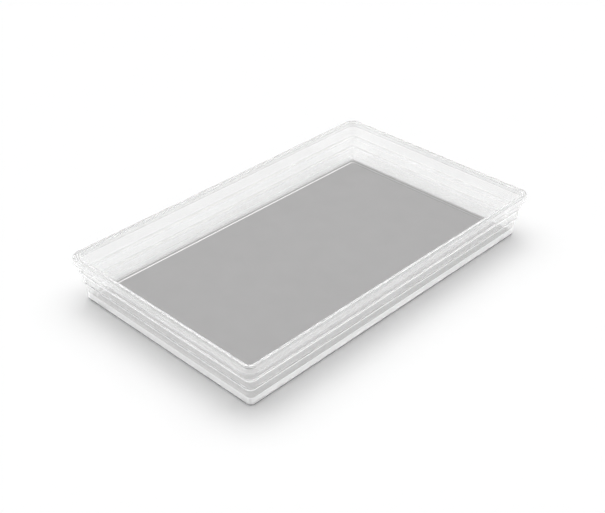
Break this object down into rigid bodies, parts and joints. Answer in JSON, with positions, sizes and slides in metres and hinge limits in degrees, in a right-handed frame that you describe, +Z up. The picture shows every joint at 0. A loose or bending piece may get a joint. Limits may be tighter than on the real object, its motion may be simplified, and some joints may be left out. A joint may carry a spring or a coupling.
{
  "type": "letter tray",
  "caption": "Shallow clear plastic letter tray with stepped walls, a flat rim, a grey soft-grip floor liner and non-slip feet.",
  "frame": {"origin": "on the table, under the middle of the tray: the centre of the underside of the bounding box", "axes": "+X along the long side, +Y along the short side, +Z up out of the open top"},
  "size_m": [0.39, 0.24, 0.0473],
  "materials": {
    "clear_plastic": "water-clear polystyrene, polished",
    "soft_grip": "matte, fine soft-touch grain",
    "foot_rubber": "matte soft rubber"
  },
  "bodies": {
    "root": {"tray_body": "clear_plastic", "grip_liner": "soft_grip", "foot_front_left": "foot_rubber", "foot_front_right": "foot_rubber", "foot_back_left": "foot_rubber", "foot_back_right": "foot_rubber"}
  },
  "joints": []
}
